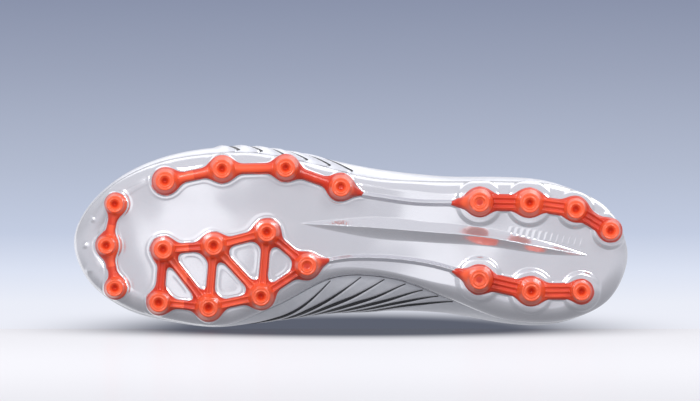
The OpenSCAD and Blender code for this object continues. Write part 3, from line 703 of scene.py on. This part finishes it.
def tube(name, centre, radius, sides=12):
    """Round tube along centre points, kept from twisting by the upright."""
    tangent = unit(np.gradient(centre, axis=0))
    wide = unit(np.cross(tangent, [0.0, 0.0, 1.0]))
    thin = np.cross(wide, tangent)
    size = np.full(len(centre), 2.0 * radius)
    return flat_ribbon(name, centre, wide, thin, size, size, sides)


def floor_sheet(name, low, thickness, shrink, lip=0.0, crown=0.0):
    """Sheet over the whole floor of the boot, with its edge curling up by lip."""
    us = np.linspace(0.003, 0.497, 150)
    medial, lateral = inward(FLOOR_EDGE, 1 - us, shrink), inward(FLOOR_EDGE, us, shrink)
    f = np.linspace(0, 1, 60)[None, :, None]
    xy = mix(medial[:, None], lateral[:, None], f)
    across = np.abs(2 * f[..., 0] - 1)
    z = sole_z(xy[..., 0]) + low + lip * across**6
    below = np.concatenate([xy, z[..., None]], -1)
    rise = thickness + crown * (1 - across**4) - 0.5 * np.clip((across - 0.94) / 0.06, 0, 1) ** 2
    above = np.concatenate([xy, (z + rise)[..., None]], -1)
    return loft(name, np.concatenate([below, above[:, ::-1]], 1))


def lathe(name, profile, frames, sides=28):
    """Round piece from (radius, height) points, repeated at each (origin, side, up, normal)."""
    points, faces = [], []
    for origin, side, up, normal in frames:
        offset = len(points)
        for i in range(sides):
            a = 2 * math.pi * i / sides
            spoke = math.cos(a) * side + math.sin(a) * up
            points.extend([origin + spoke * r + normal * z for r, z in profile])
        ring = grid_faces(sides, len(profile), wrap_rows=True, wrap_columns=True)
        faces.extend([[offset + k for k in f] for f in ring])
    return add_object(name, points, faces, crease=40)


EYELET_PROFILE = [
    (EYELET_R, -2.4), (EYELET_R, 1.1), (EYELET_R + 0.25, 1.6), (EYELET_R + 0.9, 1.85),
    (EYELET_R + 1.45, 1.6), (EYELET_R + 1.6, 1.15), (EYELET_R + 0.5, 1.1), (EYELET_R + 0.5, -2.4),
]


def eyelet_frames():
    frames = []
    for u in EYELET_US:
        for place in (u, 1 - u):
            normal = face_normal(place, EYELET_T)
            side = unit(np.cross(face(place, EYELET_T + 0.01) - face(place, EYELET_T - 0.01), normal))
            frames.append((face(place, EYELET_T), side, np.cross(normal, side), normal))
    return frames


# ---- Materials ----


def add_node(tree, kind, inputs=(), **settings):
    """New shader node. An input given a socket is linked to it, and any other value is set."""
    node = tree.nodes.new("ShaderNode" + kind)
    for name, value in settings.items():
        setattr(node, name, value)
    for key, value in dict(inputs).items():
        if isinstance(value, bpy.types.NodeSocket):
            tree.links.new(value, node.inputs[key])
        else:
            node.inputs[key].default_value = value
    return node.outputs


def color_ramp(tree, value, stops, interpolation="LINEAR"):
    """Colour that follows a value through (position, colour) stops."""
    node = tree.nodes.new("ShaderNodeValToRGB")
    node.color_ramp.interpolation = interpolation
    elements = node.color_ramp.elements
    while len(elements) < len(stops):
        elements.new(0.5)
    for element, (position, color) in zip(elements, stops):
        element.position = position
        element.color = (*color, 1)
    tree.links.new(value, node.inputs["Fac"])
    return node.outputs["Color"]


class Finish:
    """A node material being put together: a principled shader and the pattern nodes that feed it."""

    def __init__(self, name, color, roughness, **sockets):
        self.material = bpy.data.materials.new(name)
        self.material.use_nodes = True
        self.tree = self.material.node_tree
        self.shader = self.tree.nodes["Principled BSDF"]
        self.shader.inputs["Base Color"].default_value = (*color, 1)
        self.shader.inputs["Roughness"].default_value = roughness
        for socket, value in sockets.items():
            self.shader.inputs[socket.replace("_", " ")].default_value = value
        self.place = self.tree.nodes.new("ShaderNodeTexCoord")

    def pattern(self, kind, coordinates, output, inputs, **settings):
        """Value from a procedural texture; its scale is in repeats per metre."""
        vector = self.place.outputs[coordinates]
        return add_node(self.tree, "Tex" + kind, {"Vector": vector, **inputs}, **settings)[output]

    def noise(self, scale, detail=3.0):
        return self.pattern("Noise", "Object", "Fac", {"Scale": scale, "Detail": detail})

    def cells(self, scale):
        return self.pattern("Voronoi", "Object", "Distance", {"Scale": scale})

    def bands(self, scale, direction):
        return self.pattern("Wave", "UV", "Fac", {"Scale": scale}, bands_direction=direction)

    def attribute(self, name):
        return add_node(self.tree, "Attribute", attribute_name=name)["Fac"]

    def math(self, operation, a, b):
        return add_node(self.tree, "Math", {0: a, 1: b}, operation=operation)["Value"]

    def spread(self, value, low, high):
        """The value from 0 to 1 stretched to run from low to high."""
        return add_node(self.tree, "MapRange", {"Value": value, "To Min": low, "To Max": high})["Result"]

    def tint(self, value, dark, light, start=0.3, end=0.7):
        """Base colour that runs from dark to light with the value."""
        color = color_ramp(self.tree, value, [(start, dark), (end, light)])
        self.tree.links.new(color, self.shader.inputs["Base Color"])

    def roughen(self, value, low, high):
        self.tree.links.new(self.spread(value, low, high), self.shader.inputs["Roughness"])

    def bump(self, value, height_mm, strength=1.0):
        """Bump on top of any bump that the shader already has."""
        inputs = {"Distance": height_mm * MM, "Strength": strength, "Height": value}
        normal = self.shader.inputs["Normal"]
        if normal.links:
            inputs["Normal"] = normal.links[0].from_socket
        self.tree.links.new(add_node(self.tree, "Bump", inputs)["Normal"], normal)


def plate_finish():
    """Silver lacquer over moulded plastic: fine flakes, and slight scuffs in its gloss."""
    finish = Finish(
        "plate_silver", (0.74, 0.75, 0.8), 0.24, Metallic=0.75, Coat_Weight=0.4, Coat_Roughness=0.08,
    )
    finish.tint(finish.cells(3200), (0.7, 0.7, 0.745), (0.76, 0.76, 0.8), 0.1, 0.8)
    finish.roughen(finish.noise(60, 4), 0.13, 0.24)
    finish.bump(finish.noise(1800, 2), 0.003, 0.5)
    return finish.material


def stud_finish():
    """Glossy orange polyurethane, a little translucent, with faint flow marks; painted shade darkens its
    dimples and bars.
    """
    finish = Finish(
        "stud_orange", (0.86, 0.105, 0.03), 0.3, Subsurface_Weight=0.05, Subsurface_Scale=0.0012,
        Coat_Weight=0.14, Coat_Roughness=0.08,
    )
    flow = finish.spread(finish.noise(90, 4), -0.12, 0.12)
    # painted recess shade plus random flow marks in the orange
    shade_and_flow = finish.math("ADD", finish.attribute("painted_recess_shade"), flow)
    finish.tint(shade_and_flow, (0.9, 0.112, 0.036), (0.6, 0.034, 0.009), 0.05, 1.0)
    finish.roughen(finish.noise(420, 4), 0.24, 0.4)
    finish.bump(finish.noise(900, 3), 0.02, 0.5)
    return finish.material


def skin_finish():
    """Silver film on fine-grained synthetic leather."""
    finish = Finish(
        "skin_silver", (0.78, 0.79, 0.84), 0.34, Metallic=0.55, Coat_Weight=0.25, Coat_Roughness=0.2,
    )
    finish.tint(finish.noise(240, 4), (0.76, 0.77, 0.82), (0.82, 0.83, 0.88))
    finish.roughen(finish.noise(90, 3), 0.28, 0.42)
    finish.bump(finish.cells(1500), 0.05, 0.5)
    finish.bump(finish.noise(3200, 2), 0.02, 0.4)
    return finish.material


def stripe_finish():
    """Black satin ink strip with a fine speckle."""
    finish = Finish("stripe_black", (0.012, 0.012, 0.015), 0.35, Coat_Weight=0.2, Coat_Roughness=0.2)
    finish.tint(finish.noise(1800, 3), (0.006, 0.006, 0.008), (0.03, 0.03, 0.036))
    finish.roughen(finish.noise(600, 3), 0.26, 0.46)
    finish.bump(finish.noise(2400, 3), 0.02, 0.5)
    return finish.material


def knit_finish(name, dark, light, pitch_mm, sheen=0.3, depth_mm=0.12):
    """Textile whose two yarn directions follow the piece's own surface."""
    finish = Finish(name, light, 0.85, Sheen_Weight=sheen, Sheen_Roughness=0.5)
    scale = 0.314 / pitch_mm
    weave = finish.math("MULTIPLY", finish.bands(scale, "X"), finish.bands(scale, "Y"))
    shade = finish.math("ADD", weave, finish.spread(finish.noise(350, 3), -0.25, 0.25))
    finish.tint(shade, dark, light, 0.05, 0.75)
    finish.roughen(finish.noise(500, 2), 0.7, 0.95)
    finish.bump(weave, depth_mm, 0.8)
    return finish.material


def foam_finish(name, color):
    """Open-cell foam: small pores and a mottled colour."""
    finish = Finish(name, color, 0.9)
    dark = tuple(0.55 * c for c in color)
    finish.tint(finish.cells(1300), dark, color, 0.05, 0.5)
    finish.roughen(finish.noise(300, 3), 0.8, 1.0)
    finish.bump(finish.cells(1300), 0.15, 0.8)
    return finish.material


def board_finish(name, dark, light):
    """Pressed fibre sheet with short flecks."""
    finish = Finish(name, light, 0.75)
    finish.tint(finish.noise(900, 6), dark, light)
    finish.roughen(finish.noise(400, 3), 0.6, 0.9)
    finish.bump(finish.noise(1600, 5), 0.06, 0.7)
    return finish.material


def metal_finish():
    """Silver-lacquered eyelet metal, brushed by its press tool."""
    finish = Finish("eyelet_metal", (0.7, 0.71, 0.75), 0.28, Metallic=0.95)
    finish.tint(finish.noise(1400, 3), (0.58, 0.59, 0.63), (0.8, 0.81, 0.85))
    finish.roughen(finish.noise(2200, 3), 0.2, 0.38)
    finish.bump(finish.noise(3000, 2), 0.01, 0.5)
    return finish.material


def aglet_finish():
    """Clear-coated silver tube pressed round the lace end."""
    finish = Finish("aglet_film", (0.72, 0.73, 0.78), 0.22, Metallic=0.6, Coat_Weight=0.6)
    finish.tint(finish.noise(700, 3), (0.6, 0.61, 0.66), (0.8, 0.81, 0.86))
    finish.roughen(finish.noise(900, 3), 0.16, 0.3)
    finish.bump(finish.noise(1200, 2), 0.02, 0.5)
    return finish.material


def thread_finish():
    """Twisted grey sewing thread."""
    finish = Finish("thread_grey", (0.5, 0.5, 0.54), 0.6, Sheen_Weight=0.4)
    finish.tint(finish.noise(4000, 2), (0.36, 0.36, 0.4), (0.6, 0.6, 0.65))
    finish.roughen(finish.noise(2500, 2), 0.5, 0.75)
    finish.bump(finish.noise(6000, 2), 0.03, 0.8)
    return finish.material


SILVER = plate_finish()
ORANGE = stud_finish()
SKIN_SILVER = skin_finish()
STRIPE_BLACK = stripe_finish()
LINING_KNIT = knit_finish("lining_knit", (0.006, 0.006, 0.008), (0.03, 0.03, 0.034), 0.7)
BINDING_KNIT = knit_finish("binding_tape", (0.006, 0.006, 0.008), (0.025, 0.025, 0.03), 0.9)
TONGUE_MESH = knit_finish("tongue_mesh", (0.008, 0.008, 0.01), (0.045, 0.045, 0.05), 1.1, depth_mm=0.2)
LACE_WEAVE = knit_finish("lace_weave", (0.01, 0.01, 0.012), (0.07, 0.07, 0.078), 0.6, depth_mm=0.15)
SOCK_KNIT = knit_finish("sockliner_knit", (0.45, 0.04, 0.015), (0.75, 0.1, 0.035), 0.8)
PAD_FOAM = foam_finish("pad_foam", (0.06, 0.06, 0.068))
CUSHION_FOAM = foam_finish("cushion_foam", (0.09, 0.09, 0.1))
FIBRE_BOARD = board_finish("fibre_board", (0.03, 0.028, 0.026), (0.09, 0.085, 0.08))
STIFFENER = board_finish("stiffener_sheet", (0.05, 0.05, 0.055), (0.12, 0.12, 0.13))
EYELET_METAL = metal_finish()
AGLET_FILM = aglet_finish()
THREAD = thread_finish()

# ---- Assembly ----


def fit(obj, material, slot, body, *replaced):
    """Gives a piece its material and body, and hides the CAD nodes that it stands for; slot is not used."""
    obj.data.materials.append(material)
    if replaced:
        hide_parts(*replaced)
    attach(obj, body)
    return obj


def repaint(node, material):
    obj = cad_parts[node]
    obj.data.materials.clear()
    obj.data.materials.append(material)


def build_outsole():
    fit(build_plate(), SILVER, "plate", "boot", "outsole_plate")
    for name in GROUPS:
        fit(build_studs(name), ORANGE, "stud", "boot", name)


def joined(name, parts):
    """One object from several, for pieces that repeat."""
    with bpy.context.temp_override(active_object=parts[0], selected_editable_objects=parts):
        bpy.ops.object.join()
    parts[0].name = name
    parts[0].data.name = name
    return parts[0]


def build_upper():
    panels = {
        "vamp": (MEDIAL_SEAM - 1, LATERAL_SEAM, 380, 150),
        "lateral_quarter": (LATERAL_SEAM, LATERAL_HEEL_SEAM, 200, 130),
        "heel_panel": (LATERAL_HEEL_SEAM, MEDIAL_HEEL_SEAM, 120, 110),
        "medial_quarter": (MEDIAL_HEEL_SEAM, MEDIAL_SEAM, 200, 130),
    }
    for name, (start, end, columns, rows) in panels.items():
        panel = skin_panel(name + "_skin", start, end, columns, rows)
        fit(panel, SKIN_SILVER, "upper", "boot", name)
    for side in ("lateral", "medial"):
        strips = [build_stripe(f"{side}_strip_{i}", side, route) for i, route in enumerate(ROUTES[side])]
        fit(joined(f"{side}_strips", strips), STRIPE_BLACK, "stripe", "boot", f"{side}_stripes")


def build_linings():
    ts = np.linspace(0.01, 1.0, 60)
    for name, start, end in (
        ("vamp_lining", MEDIAL_SEAM - 1, LATERAL_SEAM), ("quarter_lining", LATERAL_SEAM, MEDIAL_SEAM),
    ):
        us = np.linspace(start + 0.0003, end - 0.0003, 260)
        cloth = layer(
            name + "_cloth", us, ts, lambda u, t: lining_depth(np.mod(u, 1), t),
            lambda u, t: lining_depth(np.mod(u, 1), t) + LINING,
        )
        fit(cloth, LINING_KNIT, "lining", "boot", name)
    foam = layer(
        "collar_pad", np.linspace(0.342, 0.658, 160), np.linspace(0.62, 0.992, 40),
        lambda u, t: SKIN + 0.15 + 0 * u,
        lambda u, t: SKIN + 0.2 + collar_at(u, t) * 0.96,
    )
    fit(foam, PAD_FOAM, "lining", "boot", "collar_foam")


def build_binding():
    us = np.linspace(0.3425, 0.6575, 260)
    outer = at_depth(us, 1, np.full(us.shape, -0.3))
    inner = at_depth(us, 1, lining_depth(us, np.ones_like(us)) + LINING + 0.3)
    up = unit(face(us, 1) - face(us, 0.97))
    width = np.linalg.norm(outer - inner, axis=-1)
    lift = np.minimum(2.2, width / 2)
    ring = []
    for steps, height in ((np.linspace(0, 1, 14), lift), (np.linspace(1, 0, 14), 0 * lift)):
        for f in steps:
            place = mix(outer, inner, (1 - math.cos(math.pi * f)) / 2)
            ring.append(place + up * (0.1 + height * math.sin(math.pi * f))[:, None])
    fit(loft("collar_tape", np.stack(ring, 1)), BINDING_KNIT, "binding", "boot", "collar_binding")


def build_lacing():
    for side, start, end in (("lateral", 0.004, 0.336), ("medial", 0.664, 0.996)):
        stay = layer(
            f"{side}_stay", np.linspace(start, end, 200), np.linspace(0.84, 0.999, 24),
            lambda u, t: -1.0 * ease((t - 0.84) / 0.012) * ease((1.001 - t) / 0.012) - 0.1,
            lambda u, t: -0.05 + 0 * u,
        )
        fit(stay, SKIN_SILVER, "eyestay", "boot", f"{side}_eyestay")
        build_stitches(f"{side}_stay_stitches", start + 0.006, end - 0.006, 0.857, -1.15)
    rings = lathe("eyelet_rings", EYELET_PROFILE, eyelet_frames())
    fit(rings, EYELET_METAL, "eyelet", "boot", "eyelets")
    rows = [lace_row(f"lace_row_{i}", u) for i, u in enumerate(EYELET_US)]
    for i in range(5):
        place = (lambda u: u) if i % 2 else (lambda u: 1 - u)
        a, b = place(EYELET_US[i]), place(EYELET_US[i + 1])
        run = at_depth(np.linspace(a, b, 14), EYELET_T, np.full(14, LACE_DEPTH))
        rows.append(tube(f"lace_run_{i}", run, LACE_RADIUS))
    tail_u = np.linspace(1 - EYELET_US[5], 0.702, 16)
    tail = at_depth(tail_u, np.linspace(EYELET_T, 0.8, 16), np.full(16, LACE_DEPTH))
    rows.append(tube("lace_tail", tail, LACE_RADIUS))
    fit(joined("laced_cord", rows), LACE_WEAVE, "lace", "boot", "lace")
    tip_u = np.linspace(0.7085, 0.722, 20)
    tip = at_depth(tip_u, np.linspace(0.765, 0.695, 20), np.full(20, LACE_DEPTH))
    fit(tube("lace_tip", tip, 1.05, 16), AGLET_FILM, "aglet", "boot", "aglet")


def build_stitches(name, start, end, t, depth, pitch=2.6):
    """Row of sewn stitches, each a short thread that dives in at both ends."""
    dense = np.linspace(start, end, 1200)
    line = face(dense, t)
    run = np.concatenate([[0], np.cumsum(np.linalg.norm(np.diff(line, axis=0), axis=1))])
    count = int(run[-1] / pitch)
    stitches = []
    for i in range(count):
        a = np.interp((i + 0.12) * pitch, run, dense)
        b = np.interp((i + 0.88) * pitch, run, dense)
        s = np.linspace(0, 1, 7)
        centre = at_depth(mix(a, b, s), t, depth - 0.22 * np.sin(math.pi * s) + 0.3)
        stitches.append(tube(f"{name}_{i}", centre, 0.24, 6))
    fit(joined(name, stitches), THREAD, "eyestay", "boot")


def build_tongue():
    fit(tongue_sheet("tongue_cloth", 0, 0.9, 0, 0.35), TONGUE_MESH, "tongue", "tongue", "tongue_face")
    pad = tongue_sheet("tongue_pad", 1.0, 4.2, 0.6)
    fit(pad, PAD_FOAM, "tongue", "tongue", "tongue_foam")
    fit(tongue_sheet("tongue_backing", 4.3, 5.1, 0), LINING_KNIT, "lining", "tongue", "tongue_lining")


def build_footbed():
    liner_low = PLATE_WALL + BOARD + CUSHION + 0.3 + BODY_GAP
    liner = floor_sheet("footbed_pad", liner_low, SOCKLINER - 0.3, 0.8, lip=2.5, crown=0.3)
    fit(liner, SOCK_KNIT, "sockliner", "footbed", "sockliner")
    cushion = floor_sheet("cushion_sheet", PLATE_WALL + BOARD + 0.3, CUSHION, 1.6)
    fit(cushion, CUSHION_FOAM, "cushion", "boot", "cushion_insert")


build_outsole()
build_upper()
build_linings()
build_binding()
build_lacing()
build_tongue()
build_footbed()
repaint("insole_board", FIBRE_BOARD)
repaint("toe_puff", STIFFENER)
repaint("heel_counter", STIFFENER)
repaint("lace_keeper", SKIN_SILVER)

# ---- Stage: a pale floor under the studs, a second one that the boot lies by, and a backdrop ----


SIDE_FLOOR_Y = -47.4
BACKDROP_Z = 1500
BACKDROP_STOPS = [
    (0.0, (0.888, 0.888, 0.95)), (0.2, (0.83, 0.855, 0.94)), (0.28, (0.72, 0.77, 0.9)),
    (0.38, (0.55, 0.61, 0.76)), (0.55, (0.45, 0.5, 0.63)), (0.8, (0.33, 0.37, 0.49)),
    (1.0, (0.25, 0.285, 0.4)),
]
WORLD_LEVELS = [(0, 0.35), (0.3, 0.52), (0.42, 0.8), (0.5, 0.78), (0.62, 0.62), (0.78, 0.82), (1, 0.9)]
WHITE = (1, 1, 1)


def stage_plane(name, corners, material_name, surface, hidden_from):
    """Plane of the studio; surface(tree) builds its shader, and it is left out of the rays named."""
    obj = add_object(name, corners, [[0, 1, 2, 3]])
    material = bpy.data.materials.new(material_name)
    material.use_nodes = True
    tree = material.node_tree
    tree.nodes.clear()
    add_node(tree, "OutputMaterial", {"Surface": surface(tree)})
    obj.data.materials.append(material)
    for ray in hidden_from:
        setattr(obj, "visible_" + ray, False)


def painted_soft_shadow(tree, centre, reach, bright, dark):
    """Painted soft shadow: a bright colour that darkens towards a centre, inside an ellipse of the given
    reach.
    """
    scaled = add_node(tree, "Mapping", {
        "Vector": add_node(tree, "TexCoord")["Object"],
        "Scale": [1 / (r * MM) for r in reach],
        "Location": [-c / r for c, r in zip(centre, reach)],
    })["Vector"]
    blob = add_node(tree, "TexGradient", {"Vector": scaled}, gradient_type="QUADRATIC_SPHERE")["Fac"]
    return color_ramp(tree, blob, [(0, bright), (0.4, dark)], "EASE")


def height_in(tree, coordinates, low, high=1):
    """Place between two heights along Y, from 0 to 1."""
    vector = add_node(tree, "TexCoord")[coordinates]
    y = add_node(tree, "SeparateXYZ", {"Vector": vector})["Y"]
    return add_node(tree, "MapRange", {"Value": y, "From Min": low, "From Max": high})["Result"]


def ground_surface(tree):
    """Matt white seen from above, and clear seen from below."""
    from_below = add_node(tree, "NewGeometry")["Backfacing"]
    matt = add_node(tree, "BsdfDiffuse", {"Color": (0.83, 0.85, 0.89, 1)})["BSDF"]
    clear = add_node(tree, "BsdfTransparent")["BSDF"]
    return add_node(tree, "MixShader", {"Fac": from_below, 1: matt, 2: clear})["Shader"]


def side_floor_surface(tree):
    """White glossy sheet that glows, with the boot's soft shadow painted into it."""
    # painted contact shadow: the floor darkens towards the boot's edge at z = 0
    shade = painted_soft_shadow(
        tree, (0, SIDE_FLOOR_Y, 0), (225, 400, 330), (0.2, 0.199, 0.209), (0.02, 0.022, 0.029),
    )
    matt = add_node(tree, "BsdfDiffuse", {"Color": shade})["BSDF"]
    glow = add_node(tree, "Emission", {"Color": shade, "Strength": 3.25})["Emission"]
    lit = add_node(tree, "AddShader", {0: matt, 1: glow})["Shader"]
    gloss = add_node(tree, "BsdfGlossy", {"Roughness": 0.16})["BSDF"]
    return add_node(tree, "MixShader", {"Fac": 0.08, 1: lit, 2: gloss})["Shader"]


def backdrop_surface(tree):
    """Gradient, blue-grey above and white below, with a painted shadow line under the boot."""
    gradient = color_ramp(tree, height_in(tree, "Object", -0.12, 0.18), BACKDROP_STOPS)
    # painted shadow: a dark band on the backdrop just under the boot
    shadow = painted_soft_shadow(tree, (0, -83, BACKDROP_Z), (340, 26, 500), WHITE, (0.13, 0.14, 0.17))
    dimmed = add_node(tree, "VectorMath", {0: gradient, 1: shadow}, operation="MULTIPLY")["Vector"]
    return add_node(tree, "Emission", {"Color": dimmed})["Emission"]


def build_planes():
    """Ground under the studs, seen from above only; floor beside the boot; and a far backdrop."""
    far, y, z = 19000, SIDE_FLOOR_Y, BACKDROP_Z
    all_light = ("diffuse", "glossy", "transmission", "shadow")
    corners = [(-far, -far, 0), (far, -far, 0), (far, far, 0), (-far, far, 0)]
    stage_plane("ground", corners, "ground_pale", ground_surface, all_light)
    corners = [(-900, y, 0), (-900, y, -2900), (900, y, -2900), (900, y, 0)]
    stage_plane("side_floor", corners, "side_floor_white", side_floor_surface, ["glossy"])
    corners = [(-1000, -700, z), (1000, -700, z), (1000, 900, z), (-1000, 900, z)]
    stage_plane("backdrop", corners, "backdrop_gradient", backdrop_surface, all_light)


def softbox(name, place, aim, size, power):
    data = bpy.data.lights.new(name, "AREA")
    data.shape = "RECTANGLE"
    data.size, data.size_y = size
    data.energy = power
    lamp = bpy.data.objects.new(name, data)
    bpy.context.scene.collection.objects.link(lamp)
    lamp.visible_camera = False
    lamp.location = [c * MM for c in place]
    way = np.array(aim) - np.array(place)
    lamp.rotation_mode = "QUATERNION"
    lamp.rotation_quaternion = Vector(way.tolist()).to_track_quat("-Z", "Y")


def build_lights():
    """Two small keys for the studs' highlights, and large panels that the silver reflects."""
    softbox("key_left", (500, 520, -800), (20, 0, 20), (0.3, 0.3), 4.5)
    softbox("key_right", (-450, 520, -800), (-20, 0, 20), (0.3, 0.3), 3.5)
    softbox("overhead", (0, 800, 700), (0, 0, 20), (1.4, 0.5), 1.6)
    softbox("top_front", (700, -350, 1100), (0, 0, 40), (1.2, 1.2), 1.8)
    softbox("front_panel", (420, 380, -1500), (0, 0, 10), (1.1, 1.1), 2)
    softbox("top_back", (-600, 700, 900), (0, 0, 40), (0.8, 0.8), 2.5)


def build_world():
    """Pale light all round, darkest towards -Y, the side of the floor that the boot lies by."""
    world = bpy.data.worlds.new("studio")
    world.use_nodes = True
    tree = world.node_tree
    background = tree.nodes["Background"]
    background.inputs["Strength"].default_value = 0.85
    stops = [(place, (0.97 * level, 0.98 * level, 1.04 * level)) for place, level in WORLD_LEVELS]
    color = color_ramp(tree, height_in(tree, "Generated", -1), stops)
    tree.links.new(color, background.inputs["Color"])
    bpy.context.scene.world = world


build_planes()
build_lights()
build_world()
bpy.context.scene.view_settings.view_transform = "Standard"
